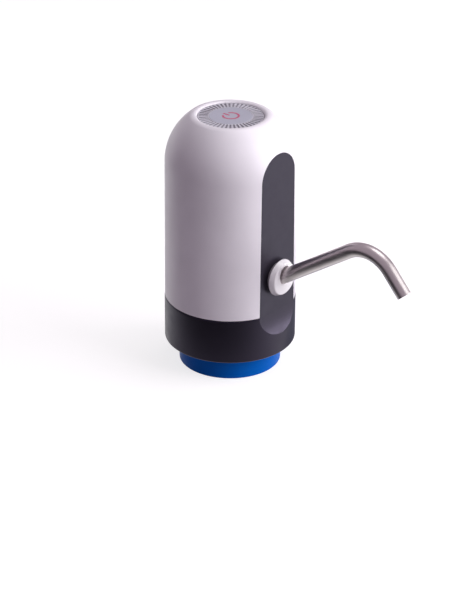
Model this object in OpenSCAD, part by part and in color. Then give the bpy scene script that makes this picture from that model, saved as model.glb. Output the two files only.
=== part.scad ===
// Electric water jug pump: a battery pump that sits on the neck of a water jug.
// Millimetres. The origin is the centre of the neck collar's lower rim, +Z is up and the
// spout points to -Y. Angles round the body are measured from +X.

/* [Body] */
// Outer radius of the black base ring
base_r = 37; // [36.8:0.1:38]
// Height of the base ring's underside above the collar rim
base_z = 14; // [12:0.5:15]
// Height of the seam between the base ring and the white shell
seam_z = 40.2; // [39:0.2:42]
// Outer radius of the white shell at the seam
shell_r = 36.8; // [36.4:0.1:36.9]
// Outer radius of the white shell where the dome starts
dome_r = 36.4; // [36:0.1:36.6]
// Height where the dome starts
dome_z = 121; // [119:0.5:123]
// Radius of the dome's arc
dome_arc = 33.2; // [32:0.2:34]
// Height of the flat crown round the button
top_z = 148.5; // [147:0.5:149]
// Rounding between the dome and the flat crown
crown_round = 5; // [2:0.5:6]
// Wall thickness of the shells
wall = 2.2; // [2:0.1:2.4]

/* [Front panel] */
// Distance of the flat front panel from the axis
flat_y = 33.5; // [33.3:0.1:33.8]
// Half width of the front panel at the seam
panel_low_w = 15.15; // [14.9:0.05:15.2]
// Half width of the front panel at the arch
panel_top_w = 14.3; // [14:0.1:14.4]
// Height of the centre of the panel's arched top
arch_z = 120; // [118:0.5:120]
// Height of the centre of the scoop in the base ring
scoop_z = 41.2; // [40.5:0.1:42]
// Radius of the scoop in the base ring
scoop_r = 14.8; // [13.5:0.1:15]
// Cove radius at the foot of the scoop
scoop_cove = 2.6; // [1.5:0.1:3]

/* [Neck collar] */
// Bore radius, for a 55 mm jug neck
neck_r = 27.8; // [27.6:0.1:28]
// Depth of the bore up to the stop shoulder
neck_depth = 16; // [14:0.5:16]
// Outer radius of the collar at its rim
collar_rim_r = 28.8; // [28.5:0.1:28.9]
// Outer radius of the collar under the base ring
collar_top_r = 29.2; // [29:0.1:29.2]
// Radius of the spigot that takes the suction hose
spigot_r = 4; // [3.5:0.1:4.2]
// Length of the suction spigot
spigot_len = 10; // [8:0.5:10]

/* [Spout] */
// Outer radius of the steel tube
tube_r = 4; // [3.9:0.05:4]
// Wall of the steel tube
tube_wall = 0.6; // [0.4:0.1:0.8]
// Angle at which the tube rises from the front panel, in degrees
tube_rise = 33.5; // [32:0.5:35]
// Straight length outside the grommet
tube_straight = 55; // [40:1:70]
// Centreline radius of the bend
bend_r = 20.8; // [16:0.2:26]
// Angle of the bend, in degrees
bend_angle = 82.3; // [60:0.5:100]
// Straight length after the bend
tube_end = 15.2; // [8:0.2:25]
// Height of the grommet's centre
grommet_z = 60; // [58:0.5:61]
// Largest radius of the grommet
grommet_r = 10.75; // [10.2:0.05:11]

/* [Button] */
// Radius of the button
button_r = 18.2; // [17.8:0.1:18.4]
// Height of the button's face
button_z = 147.6; // [147.4:0.1:147.8]
// Radius of the plain disc inside the ring of grooves
disc_r = 13.2; // [12:0.1:14]
// Number of radial grooves in the ring
groove_count = 60; // [36:4:72]
// Outer radius of the power icon's ring
icon_r = 4.9; // [4:0.1:5.5]
// Travel of the button
button_travel = 0.5; // [0.3:0.1:0.6]

/* [Pump and battery] */
// Radius of the pump head
pump_r = 13.8; // [13.6:0.1:13.9]
// Radius of the motor can
motor_r = 12.2; // [11.8:0.1:12.4]
// Length of the motor can
motor_len = 27; // [25:0.5:27.5]
// Tilt of the wobble plate, in degrees
wobble_tilt = 7; // [5:0.5:7]
// Radius on which the three pump chambers sit
chamber_ring_r = 6; // [5.8:0.1:6.1]
// Radius of the battery cell
cell_r = 9.2; // [9:0.05:9.3]
// Length of the battery cell
cell_len = 65; // [64:0.5:66]

/* [Hidden] */
$fn = 64;

// Small overlap for cuts that run past a face
e = 0.5;
// Play between two pieces that are fitted together
play = 0.2;
far = 60;

// Body
dome_c = dome_r - dome_arc;
bottom_round = 1;
lip_overlap = 2.4;
panel_back = flat_y - wall;
spigot_ring_r = shell_r - wall - 0.3;
spigot_ring_wall = 1.7;
spigot_ring_top = seam_z + 3.8;
ring_inner_r = base_r - wall;
floor_top = base_z + 2.3;

// Case screws and their posts
case_angles = [50, 130, 230, 310];
case_post_ring = 32.9;
case_post_r = 3.3;
case_bore_r = 2.5;
case_bore_top = 35;
case_post_top = seam_z - 0.2;
case_boss_bottom = seam_z + 0.1;
case_boss_top = 54;
case_boss_r = 3.2;

// Neck collar
collar_play = 0.2;
collar_pocket_r = 25;
collar_flange_r = 31;
collar_flange_top = floor_top + 2;
ceiling_z = 27;
ceiling_top = 29.2;

// Chassis
chassis_angles = [0, 90, 180];
chassis_post_ring = 32.4;
chassis_post_r = 2.6;
chassis_top = ceiling_top + 2;
chassis_r = 33.9;

// Spout axis: passes through pierce_y, pierce_z on the front and rises forwards
pierce_y = -36;
pierce_z = grommet_z + 0.55;
tube_tail = 17.6;
socket_len = 18;
socket_r = 6.8;
port_face_y = -29.8;
port_end = 19.5;
port_nipple_end = 26.5;
seal_places = [12.7, 15.7];
seal_r = 0.72;
port_screw_x = 10.2;
port_screw_z = 50.4;
grommet_ball = 14.63;
grommet_edge = 1.7;
grommet_neck_r = 7.7;
grommet_back = 1.4;
grommet_pocket_r = 5.2;

// Hose fittings
nipple_r = 2.3;
nipple_bore = 1.4;
hose_wall = 0.85;
hose_sides = 12;

// Pump, from its nipples up to the motor's front face
pump_xy = [11.5, 8];
inlet_xy = pump_xy + [-7, 4];
outlet_xy = pump_xy + [0, -8.5];
pump_nipple_z = 52;
cover_z = 59;
plate_z = 63.5;
diaphragm_z = 66.5;
housing_z = 67.5;
motor_z = 89.5;
pivot_z = 73.5;
cam_z = 77;
cam_top = 86;
shaft_z = 80.5;
pump_cavity_r = 9.6;
pump_screw_ring = 11.8;
motor_screw_ring = 7.6;
motor_end_z = motor_z + motor_len;
core_z = motor_z + 5.5;
core_len = 13;
commutator_z = motor_end_z - 5.8;
commutator_len = 4;
can_wall = 0.8;
pin_r = 1;
shaft_r = 1;

// Battery
cell_xy = [-15, 6];
cell_z = chassis_top + 2;

// Circuit board, switch and button
board_z = 128;
board_t = 1.6;
board_top = board_z + board_t;
board_r = 28;
board_screw_ring = 24;
board_angles = [30, 150, 270];
switch_z = board_top;
plunger_z = 136.6;
plunger_r = 1.7;
plunger_foot = switch_z + 2;
guide_r = button_r + 0.25;
guide_bottom = 139;
usb_w = 7.5;
usb_h = 2.5;
usb_mid_z = board_z - usb_h / 2;

// A copy of the children at each angle of a list, on a ring of radius r
module on_ring(angles, r) {
    for (a = angles) rotate([0, 0, a]) translate([r, 0, 0]) children();
}

// The pump's own axis
module at_pump(z = 0) {
    translate([pump_xy[0], pump_xy[1], z]) children();
}

// Frame on the spout's axis: local +X runs out along the tube, from the piercing point
module along_spout() {
    translate([0, pierce_y, pierce_z])
        rotate([0, 0, -90])
            rotate([0, -tube_rise, 0]) children();
}

// Round bar along local +X, from x = a to x = b
module bar_x(r, a, b) {
    translate([a, 0, 0]) rotate([0, 90, 0]) cylinder(r = r, h = b - a);
}

// Round bar along Y at height z, from y = a to y = b
module bar_y(r, a, b, x = 0, z = 0) {
    translate([x, a, z]) rotate([-90, 0, 0]) cylinder(r = r, h = b - a);
}

// Plate cut from an X-Z outline, from y = a to y = b
module plate_y(a, b) {
    translate([0, b, 0]) rotate([90, 0, 0]) linear_extrude(height = b - a) children();
}

// Pan-head screw along +Z: the head's seat is at z = 0 and the shank points up
module screw(shank_r, shank_len, head_r, head_h) {
    difference() {
        union() {
            translate([0, 0, -head_h]) cylinder(r = head_r, h = head_h);
            cylinder(r = shank_r, h = shank_len);
        }
        for (turn = [0, 90])
            rotate([0, 0, turn])
                translate([-head_r * 0.6, -head_r * 0.13, -head_h - e])
                    cube([head_r * 1.2, head_r * 0.26, head_h * 0.5 + e]);
    }
}

// Points on a swept path and the frames along it
function unit(v) = v / norm(v);
function bezier(p, t) =
    pow(1 - t, 3) * p[0] + 3 * pow(1 - t, 2) * t * p[1]
    + 3 * (1 - t) * t * t * p[2] + t * t * t * p[3];
function bezier_path(p, steps) = [for (i = [0 : steps]) bezier(p, i / steps)];
function tangent(p, i) =
    unit(p[min(i + 1, len(p) - 1)] - p[max(i - 1, 0)]);
function square_to(n, t) = unit(n - (n * t) * t);
function carried(p, n0) =
    [for (i = 0, n = square_to(n0, tangent(p, 0)); i < len(p);
          i = i + 1, n = i < len(p) ? square_to(n, tangent(p, i)) : n) n];
function loop_points(p, n0, r, sides) =
    let (side = carried(p, n0))
    [for (i = [0 : len(p) - 1], k = [0 : sides - 1])
        let (b = cross(tangent(p, i), side[i]), a = 360 * k / sides)
            p[i] + r * (cos(a) * side[i] + sin(a) * b)];
function skin(rings, sides, base, flip) =
    [for (i = [0 : rings - 2], k = [0 : sides - 1])
        let (a = base + i * sides + k, b = base + i * sides + (k + 1) % sides)
            flip ? [a, b, b + sides, a + sides] : [a, a + sides, b + sides, b]];

// Tube swept along a path: solid when the inner radius is 0
module swept(path, r, inner = 0, sides = 8, side = [1, 0, 0]) {
    rings = len(path);
    count = rings * sides;
    last = count - sides;
    outer_points = loop_points(path, side, r, sides);
    if (inner > 0) {
        polyhedron(
            points = concat(outer_points, loop_points(path, side, inner, sides)),
            faces = concat(
                skin(rings, sides, 0, true),
                skin(rings, sides, count, false),
                [for (k = [0 : sides - 1]) let (m = (k + 1) % sides)
                    [k, k + count, m + count, m]],
                [for (k = [0 : sides - 1]) let (m = (k + 1) % sides)
                    [last + k, last + m, last + m + count, last + k + count]]
            ),
            convexity = 6
        );
    } else {
        polyhedron(
            points = outer_points,
            faces = concat(
                skin(rings, sides, 0, true),
                [[for (k = [0 : sides - 1]) sides - 1 - k]],
                [[for (k = [0 : sides - 1]) last + k]]
            ),
            convexity = 6
        );
    }
}

// Half outline of the domed body, inset by a wall thickness. The foot of the dome, beside
// the panel's arch, is a run of narrow cone bands, and a true arc follows above it.
band_count = 8;
band_top = 134.8;

module body_outline(inset = 0, bottom = seam_z) {
    arc = dome_arc - inset;
    last_angle = asin((band_top - dome_z) / arc);
    polygon(concat(
        [[0, band_top], [0, bottom], [shell_r - inset, bottom]],
        [for (i = [0 : band_count]) let (a = last_angle * i / band_count)
            [dome_c + arc * cos(a), dome_z + arc * sin(a)]]
    ));
    intersection() {
        translate([dome_c, dome_z]) circle(r = arc);
        translate([0, band_top]) square([far, top_z - inset - band_top]);
    }
}

// Centre of the crown's rounding, tangent to the dome's arc and to the flat crown
crown_cz = top_z - crown_round;
crown_cr = dome_c
    + sqrt(pow(dome_arc - crown_round, 2) - pow(crown_cz - dome_z, 2));
crown_out = unit([crown_cr - dome_c, crown_cz - dome_z]);

module rounded_outline() {
    difference() {
        body_outline();
        polygon([
            [crown_cr, crown_cz],
            [crown_cr, top_z + 1],
            [crown_cr + crown_round + 1, top_z + 1],
            [crown_cr, crown_cz] + (crown_round + 2) * crown_out
        ]);
    }
    translate([crown_cr, crown_cz]) circle(r = crown_round);
}

// Outline of the front panel in X and Z, grown by a margin
module panel_outline(grow = 0, bottom = seam_z - 6) {
    polygon([
        [-panel_low_w - grow, bottom], [panel_low_w + grow, bottom],
        [panel_low_w + grow, seam_z], [panel_top_w + grow, arch_z],
        [-panel_top_w - grow, arch_z], [-panel_low_w - grow, seam_z]
    ]);
    translate([0, arch_z]) circle(r = panel_top_w + grow);
}

// White domed shell with the panel's slot, the button's guide and the screw bosses
module upper_shell() color("white") {
    difference() {
        union() {
            difference() {
                rotate_extrude() rounded_outline();
                rotate_extrude() body_outline(wall, seam_z - 1);
                translate([0, 0, 130]) cylinder(r = guide_r, h = far);
            }
            shell_bosses();
            button_guide();
        }
        plate_y(-far, -panel_back + 3) panel_outline(play * 0.5);
        shell_holes();
    }
}

module shell_bosses() {
    intersection() {
        union() {
            on_ring(case_angles, case_post_ring)
                translate([0, 0, case_boss_bottom])
                    cylinder(r = case_boss_r, h = case_boss_top - case_boss_bottom);
            on_ring(board_angles, board_screw_ring)
                translate([0, 0, board_top]) cylinder(r = 2.6, h = far / 3);
        }
        rotate_extrude() body_outline(wall / 2);
    }
}

module button_guide() {
    difference() {
        translate([0, 0, guide_bottom])
            cylinder(r = guide_r + 1.6, h = top_z - wall - guide_bottom + 0.2);
        translate([0, 0, guide_bottom - e]) cylinder(r = guide_r, h = far);
    }
}

module shell_holes() {
    on_ring(case_angles, case_post_ring)
        translate([0, 0, case_boss_bottom - e]) cylinder(r = 1.28, h = 12);
    on_ring(board_angles, board_screw_ring)
        translate([0, 0, board_top - e]) cylinder(r = 0.88, h = 8);
    // Charging socket: a slot through the wall in a shallow flat recess
    plate_y(30, far) slot_outline(8.8, 3.6);
    plate_y(35.1, far) slot_outline(12.4, 7.2);
}

module slot_outline(w, h) {
    translate([0, usb_mid_z]) {
        square([w - h, h], center = true);
        for (side = [-1, 1]) translate([side * (w - h) / 2, 0]) circle(r = h / 2);
    }
}

// Black base ring and front panel, moulded in one piece
module lower_housing() color([0.13, 0.12, 0.14]) {
    difference() {
        union() {
            rotate_extrude() ring_outline();
            front_pad();
            front_panel();
            housing_posts();
        }
        scoop();
        bar_y(grommet_neck_r + 0.1, -far, -20, 0, grommet_z);
        for (side = [-1, 1])
            bar_y(0.88, -flat_y + 0.6, port_face_y + e, side * port_screw_x, port_screw_z);
        on_ring(case_angles, case_post_ring) {
            translate([0, 0, base_z - e]) cylinder(r = case_bore_r, h = case_bore_top - base_z + e);
            cylinder(r = 1.45, h = seam_z + 1);
            translate([0, 0, seam_z]) cylinder(r = case_boss_r + 0.3, h = 8);
        }
        on_ring(chassis_angles, chassis_post_ring)
            translate([0, 0, ceiling_top - 10]) cylinder(r = 1.08, h = 11);
    }
}

module ring_outline() {
    difference() {
        union() {
            translate([ring_inner_r, base_z]) square([wall, seam_z - base_z]);
            translate([collar_top_r + collar_play, base_z])
                square([base_r - collar_top_r - collar_play, floor_top - base_z]);
        }
        translate([base_r - bottom_round, base_z - 1]) square([bottom_round + 1, bottom_round + 1]);
        polygon([
            [base_r - 0.3, seam_z + 0.01], [base_r + 1, seam_z + 0.01],
            [base_r + 1, seam_z - 1.3]
        ]);
    }
    intersection() {
        translate([base_r - bottom_round, base_z + bottom_round]) circle(r = bottom_round);
        translate([base_r - bottom_round, base_z]) square(bottom_round);
    }
    // Rising lip that centres the white shell
    polygon([
        [ring_inner_r + 0.2, seam_z - 5], [ring_inner_r + 0.2, seam_z],
        [spigot_ring_r, seam_z], [spigot_ring_r, spigot_ring_top],
        [spigot_ring_r - spigot_ring_wall, spigot_ring_top],
        [spigot_ring_r - spigot_ring_wall, seam_z - 3]
    ]);
}

// Solid segment behind the scoop
module front_pad() {
    intersection() {
        translate([0, 0, base_z + bottom_round]) cylinder(r = base_r - 0.1, h = seam_z - base_z - bottom_round);
        translate([-20, -base_r, base_z + bottom_round])
            cube([40, base_r - panel_back, seam_z - base_z - bottom_round]);
    }
}

module front_panel() {
    intersection() {
        plate_y(-flat_y, -panel_back) panel_outline(0);
        rotate_extrude() body_outline(0.05, seam_z - 8);
    }
    // Hidden lip that laps behind the edge of the white shell
    intersection() {
        plate_y(-panel_back - 0.2, -panel_back + 2.2) difference() {
            panel_outline(lip_overlap);
            panel_outline(-1.2);
        }
        rotate_extrude() body_outline(wall + play, seam_z - 8);
    }
    for (side = [-1, 1])
        bar_y(2.6, -panel_back - e, port_face_y, side * port_screw_x, port_screw_z);
}

module housing_posts() {
    on_ring(case_angles, case_post_ring)
        translate([0, 0, base_z + 1]) cylinder(r = case_post_r, h = case_post_top - base_z - 1);
    on_ring(chassis_angles, chassis_post_ring)
        translate([0, 0, base_z + 1]) cylinder(r = chassis_post_r, h = ceiling_top - base_z - 1);
}

// Thumb-shaped scoop: a round end with a cove, cut down to the panel's plane
module scoop() {
    floor_r = scoop_r - scoop_cove;
    depth = base_r - flat_y + 1;
    translate([0, -flat_y, scoop_z]) rotate([90, 0, 0]) {
        rotate_extrude() {
            translate([0, 0]) square([floor_r, depth]);
            translate([0, scoop_cove]) square([scoop_r, depth - scoop_cove]);
            intersection() {
                translate([floor_r, scoop_cove]) circle(r = scoop_cove);
                translate([floor_r - 1, 0]) square([scoop_cove + 1, scoop_cove + 0.2]);
            }
        }
    }
    translate([-20, -base_r - 1, seam_z - 0.001]) cube([40, base_r + 1 - flat_y, 12]);
}

// Blue collar that drops over the jug's neck, with its stop shoulder and its ceiling
module neck_collar() color([0.0, 0.36, 0.75]) {
    difference() {
        rotate_extrude() difference() {
            union() {
                polygon([
                    [0, 0.4], [collar_rim_r - 0.4, 0], [collar_rim_r, 0.5],
                    [collar_top_r, base_z - 2], [collar_top_r, collar_flange_top],
                    [collar_pocket_r + 2.4, collar_flange_top],
                    [collar_pocket_r + 2.4, ceiling_top], [0, ceiling_top]
                ]);
                translate([collar_top_r - 1, floor_top])
                    square([collar_flange_r - collar_top_r + 1, collar_flange_top - floor_top]);
            }
            polygon([[0, -1], [neck_r, -1], [neck_r, neck_depth], [0, neck_depth]]);
            square([collar_pocket_r, ceiling_z]);
            square([4.6, far]);
        }
        translate([0, 0, floor_top - 0.1]) {
            on_ring(case_angles, case_post_ring) cylinder(r = case_post_r + 0.1, h = 3);
            on_ring(chassis_angles, chassis_post_ring) cylinder(r = chassis_post_r + 0.2, h = 3);
        }
    }
}

// Suction fitting: spigot below the ceiling, flange on top of it, hose nipple above
module inlet_fitting() color([0.9, 0.9, 0.92]) {
    rotate_extrude() difference() {
        union() {
            polygon([
                [0, ceiling_z - spigot_len], [spigot_r - 0.5, ceiling_z - spigot_len],
                [spigot_r, ceiling_z - spigot_len + 0.5], [spigot_r, ceiling_z + 0.2],
                [4.4, ceiling_z + 0.2], [4.4, ceiling_top + 0.8], [0, ceiling_top + 0.8]
            ]);
            translate([0, ceiling_top + 0.8]) square([7.3, 1.6]);
            barb_outline(ceiling_top + 2.2, ceiling_top + 10);
        }
        square([nipple_bore, far]);
        translate([0, ceiling_z - spigot_len - 1]) square([2.6, spigot_len]);
    }
}

// Half outline of a hose nipple with a small barb at its free end
module barb_outline(z, top) {
    polygon([
        [0, z], [nipple_r, z], [nipple_r, top - 2.4], [nipple_r + 0.35, top - 2.3],
        [nipple_r, top - 0.5], [nipple_r - 0.4, top], [0, top]
    ]);
}

module inlet_gasket() color([0.85, 0.85, 0.87]) {
    translate([0, 0, ceiling_top]) difference() {
        cylinder(r = 7.3, h = 0.8);
        translate([0, 0, -e]) cylinder(r = 4.6, h = 2);
    }
}

// Hoses run from one nipple's root to the other's
inlet_path = concat(
    [[0, 0, ceiling_top + 2.8], [0, 0, ceiling_top + 6]],
    bezier_path([
        [0, 0, ceiling_top + 9.8], [0, 0, ceiling_top + 17],
        [inlet_xy[0], inlet_xy[1], pump_nipple_z - 7],
        [inlet_xy[0], inlet_xy[1], pump_nipple_z]
    ], 14),
    [[inlet_xy[0], inlet_xy[1], pump_nipple_z + 3.5],
     [inlet_xy[0], inlet_xy[1], cover_z - 0.4]]
);
function spout_point(s) =
    [0, pierce_y + s * cos(tube_rise), pierce_z - s * sin(tube_rise)];
outlet_path = concat(
    [spout_point(port_end + 1.1), spout_point(port_end + 3.8)],
    bezier_path([
        spout_point(port_nipple_end), spout_point(port_nipple_end + 8),
        [outlet_xy[0], outlet_xy[1], pump_nipple_z - 15],
        [outlet_xy[0], outlet_xy[1], pump_nipple_z]
    ], 18),
    [[outlet_xy[0], outlet_xy[1], pump_nipple_z + 3.5],
     [outlet_xy[0], outlet_xy[1], cover_z - 0.4]]
);
hose_inner = (nipple_r + 0.36) / cos(180 / hose_sides) + 0.02;

module hose(path) {
    swept(path, hose_inner + hose_wall, hose_inner, hose_sides, [1, 0, 0]);
}

module inlet_hose() color([0.88, 0.9, 0.92, 0.8]) hose(inlet_path);
module outlet_hose() color([0.88, 0.9, 0.92, 0.8]) hose(outlet_path);

// Domed grommet, pierced by the sloping tube
module spout_grommet() color("white") {
    ball_z = -sqrt(pow(grommet_ball - grommet_edge, 2) - pow(grommet_r - grommet_edge, 2))
        + 1.345;
    edge = [grommet_r - grommet_edge, 1.345];
    out = unit(edge - [0, ball_z]);
    difference() {
        union() {
            translate([0, -flat_y, grommet_z]) rotate([90, 0, 0]) rotate_extrude() {
                intersection() {
                    translate([0, ball_z]) circle(r = grommet_ball);
                    polygon([
                        [0, 0], [edge[0] + 0.3, 0], edge,
                        edge + (grommet_edge + 1.5) * out, [0, 14]
                    ]);
                }
                intersection() {
                    translate(edge) circle(r = grommet_edge);
                    square([far, far]);
                }
            }
            bar_y(grommet_neck_r, -flat_y - 0.1, -panel_back, 0, grommet_z);
            bar_y(grommet_neck_r + 1.7, -panel_back, -panel_back + grommet_back, 0, grommet_z);
        }
        along_spout() {
            bar_x(tube_r + 0.04, -far / 3, far / 2);
            bar_x(grommet_pocket_r, 1.2, far / 2);
        }
    }
}

// Socket that takes the tube's tail, with two seal grooves and the outlet nipple
module spout_port() color([0.16, 0.16, 0.18]) {
    difference() {
        union() {
            intersection() {
                along_spout() bar_x(socket_r, -port_end, 0);
                translate([-far / 2, port_face_y, 0]) cube([far, far, 2 * far]);
            }
            along_spout() rotate([0, -90, 0]) rotate_extrude() {
                translate([0, port_end - 1]) square([4.4, 2]);
                barb_outline(port_end, port_nipple_end);
            }
            plate_y(port_face_y, port_face_y + 2.4) {
                translate([0, port_screw_z]) square([2 * port_screw_x, 6], center = true);
                for (side = [-1, 1]) translate([side * port_screw_x, port_screw_z]) circle(r = 3);
                translate([0, 56.4]) circle(r = 9);
            }
        }
        along_spout() {
            bar_x(tube_r + 0.04, -socket_len, far / 2);
            bar_x(nipple_bore, -far, 0);
            for (s = seal_places) bar_x(tube_r + 1.5, -s - 1, -s + 1);
        }
        for (side = [-1, 1])
            bar_y(1.15, port_face_y - e, port_face_y + 5, side * port_screw_x, port_screw_z);
    }
}

module spout_seals() color([0.1, 0.1, 0.1]) {
    for (s = seal_places)
        along_spout() translate([-s, 0, 0]) rotate([0, 90, 0])
            rotate_extrude() translate([tube_r + 0.03 + seal_r, 0]) circle(r = seal_r);
}

// Bent stainless tube: tail in the socket, long straight, bend, short straight
module spout_tube() color([0.72, 0.72, 0.74]) {
    along_spout() {
        hollow_x(-tube_tail, tube_straight);
        translate([tube_straight, 0, -bend_r]) {
            rotate([90, 0, 0]) rotate([0, 0, 90 - bend_angle])
                rotate_extrude(angle = bend_angle) translate([bend_r, 0]) difference() {
                    circle(r = tube_r);
                    circle(r = tube_r - tube_wall);
                }
            rotate([0, bend_angle, 0]) translate([0, 0, bend_r]) hollow_x(0, tube_end);
        }
    }
}

module hollow_x(a, b) {
    difference() {
        bar_x(tube_r, a, b);
        bar_x(tube_r - tube_wall, a - e, b + e);
    }
}

// Inner frame: base disc, battery cradle, pump cradle and the web between them
module chassis() color([0.8, 0.8, 0.78]) {
    difference() {
        union() {
            translate([0, 0, ceiling_top]) cylinder(r = chassis_r, h = chassis_top - ceiling_top);
            translate([0, 0, ceiling_top]) cylinder(r = 9.5, h = cell_z - ceiling_top - 0.2);
            battery_cradle();
            pump_cradle();
        }
        translate([0, 0, ceiling_top - e]) {
            cylinder(r = 7.7, h = e + 2.5);
            cylinder(r = 4.7, h = 6);
            on_ring(case_angles, case_post_ring) cylinder(r = case_post_r + 0.4, h = 5);
            on_ring(chassis_angles, chassis_post_ring) cylinder(r = 1.4, h = 5);
        }
        translate([-far / 2, -far, 0]) cube([far, far - panel_back + 0.3, far]);
        translate([cell_xy[0], cell_xy[1], cell_z]) cylinder(r = cell_r + 0.3, h = cell_len + 8);
    }
}

module battery_cradle() {
    translate([cell_xy[0], cell_xy[1], chassis_top - e]) difference() {
        cylinder(r = cell_r + 1.8, h = cell_len + 3);
        translate([2, -far / 2, cell_z - chassis_top + 3]) cube([far, far, 2 * far]);
        translate([8, -3.2, cell_z - chassis_top + 0.2]) cube([4, 6.4, 12]);
        for (z = [18, 42])
            translate([-far / 2, -4, z]) cube([far / 2, 8, 14]);
    }
}

module pump_cradle() {
    ear_z = 70;
    difference() {
        union() {
            at_pump(chassis_top - e) cylinder(r = pump_r + 1.8, h = 53);
            // Ears that take the clamp
            for (side = [-1, 1])
                at_pump(ear_z) rotate([0, 0, -55]) translate([side * (pump_r + 3.6) - 3, -0.2, 0])
                    cube([6, 5.2, 9]);
        }
        at_pump(0) rotate([0, 0, -55]) translate([-far, -far, chassis_top]) cube([2 * far, far, far]);
        at_pump(chassis_top) cylinder(r = pump_r + 0.15, h = far);
        at_pump(0) translate([-far, -8, chassis_top + 4]) cube([2 * far, 12, 22]);
        for (side = [-1, 1])
            at_pump(ear_z + 4.5) rotate([0, 0, -55])
                bar_y(0.88, -1, 6, side * (pump_r + 4), 0);
    }
}

// Strap across the front of the pump head
module pump_clamp() color([0.75, 0.75, 0.73]) {
    at_pump(70) rotate([0, 0, -55]) difference() {
        union() {
            cylinder(r = pump_r + 1.8, h = 9);
            for (side = [-1, 1])
                translate([side * (pump_r + 3.6) - 3, -2.6, 0]) cube([6, 2.4, 9]);
        }
        translate([0, 0, -e]) cylinder(r = pump_r + 0.15, h = 10);
        translate([-far, -0.2, -e]) cube([2 * far, far, 10]);
        for (side = [-1, 1]) bar_y(1.15, -5, 1, side * (pump_r + 4), 4.5);
    }
}

// Pump head cover: inlet chamber round a central outlet chamber, and the two nipples
module pump_cover() color([0.15, 0.15, 0.16]) {
    difference() {
        union() {
            at_pump(cover_z) cylinder(r = pump_r, h = plate_z - cover_z);
            for (xy = [inlet_xy, outlet_xy])
                translate([xy[0], xy[1], cover_z + pump_nipple_z]) mirror([0, 0, 1])
                    rotate_extrude() barb_outline(pump_nipple_z - 0.2, cover_z);
        }
        for (xy = [inlet_xy, outlet_xy])
            translate([xy[0], xy[1], pump_nipple_z - 1]) cylinder(r = nipple_bore, h = 9.5);
        at_pump(cover_z + 1.5) {
            cylinder(r = 5, h = 4);
            translate([-2.5, -9.5, 0]) cube([5, 8, 4]);
            difference() {
                cylinder(r = 10, h = 4);
                translate([0, 0, -e]) cylinder(r = 6.2, h = 5);
                translate([-3.8, -11, -e]) cube([7.6, 10, 5]);
            }
        }
        at_pump(0) on_ring([45, 135, 225, 315], pump_screw_ring) {
            cylinder(r = 1.1, h = far * 2);
            translate([0, 0, cover_z - e]) cylinder(r = 1.75, h = 1.7);
        }
    }
}

chamber_angles = [90, 210, 330];

module valve_plate() color([0.85, 0.85, 0.86]) {
    at_pump(plate_z) difference() {
        cylinder(r = pump_r, h = diaphragm_z - plate_z);
        translate([0, 0, -e]) {
            on_ring([45, 135, 225, 315], pump_screw_ring) cylinder(r = 1.1, h = 5);
            on_ring(chamber_angles, 3) cylinder(r = 0.7, h = 5);
            on_ring(chamber_angles, 8.3) cylinder(r = 0.6, h = 5);
            cylinder(r = 1.05, h = 5);
        }
        on_ring(chamber_angles, chamber_ring_r)
            translate([0, 0, 1.8]) cylinder(r = 2.9, h = 3);
    }
}

// Outlet umbrella in the middle and one inlet flap under each chamber
module check_valves() color([0.75, 0.35, 0.2]) {
    at_pump(0) {
        translate([0, 0, plate_z - 0.8]) cylinder(r = 4.4, h = 0.7);
        translate([0, 0, plate_z - 0.3]) cylinder(r = 1, h = 3.1);
        on_ring(chamber_angles, chamber_ring_r + 1.1)
            translate([0, 0, plate_z + 1.9]) cylinder(r = 1.6, h = 0.5);
    }
}

// Rubber diaphragm: a sheet with three cups and the stems that the wobble plate pulls
module diaphragm() color([0.2, 0.2, 0.2]) {
    cup_top = 71.5;
    at_pump(0) difference() {
        union() {
            translate([0, 0, diaphragm_z]) cylinder(r = pump_r, h = housing_z - diaphragm_z);
            on_ring(chamber_angles, chamber_ring_r) {
                translate([0, 0, housing_z - 0.2])
                    cylinder(r1 = 3.3, r2 = 2.3, h = cup_top - housing_z + 0.2);
                translate([0, 0, cup_top - 0.2]) cylinder(r = 1, h = 4);
                translate([0, 0, cup_top + 3.9]) cylinder(r1 = 1.7, r2 = 0.9, h = 0.9);
            }
        }
        translate([0, 0, diaphragm_z - e]) {
            on_ring([45, 135, 225, 315], pump_screw_ring) cylinder(r = 1.1, h = 5);
            on_ring(chamber_angles, chamber_ring_r) cylinder(r1 = 2.8, r2 = 1.6, h = 4.6);
        }
    }
}

// Cam housing between the diaphragm and the motor
module pump_housing() color([0.15, 0.15, 0.16]) {
    at_pump(0) difference() {
        translate([0, 0, housing_z]) cylinder(r = pump_r, h = motor_z - housing_z);
        translate([0, 0, housing_z - e]) cylinder(r = pump_cavity_r, h = motor_z - 2 - housing_z + e);
        translate([0, 0, housing_z]) cylinder(r = 3.1, h = far);
        translate([0, 0, housing_z - e])
            on_ring([45, 135, 225, 315], pump_screw_ring) cylinder(r = 0.92, h = 12);
        on_ring([0, 180], motor_screw_ring) cylinder(r = 1.1, h = 2 * far);
        // Drain slots round the cam chamber
        for (a = [0, 90, 180, 270])
            rotate([0, 0, a]) translate([0, -2, housing_z + 10]) cube([far, 4, 6]);
    }
}

// Frame on the wobble plate's own axis, which leans towards +X
module on_wobble_axis() {
    at_pump(pivot_z) rotate([0, wobble_tilt, 0]) children();
}

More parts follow.
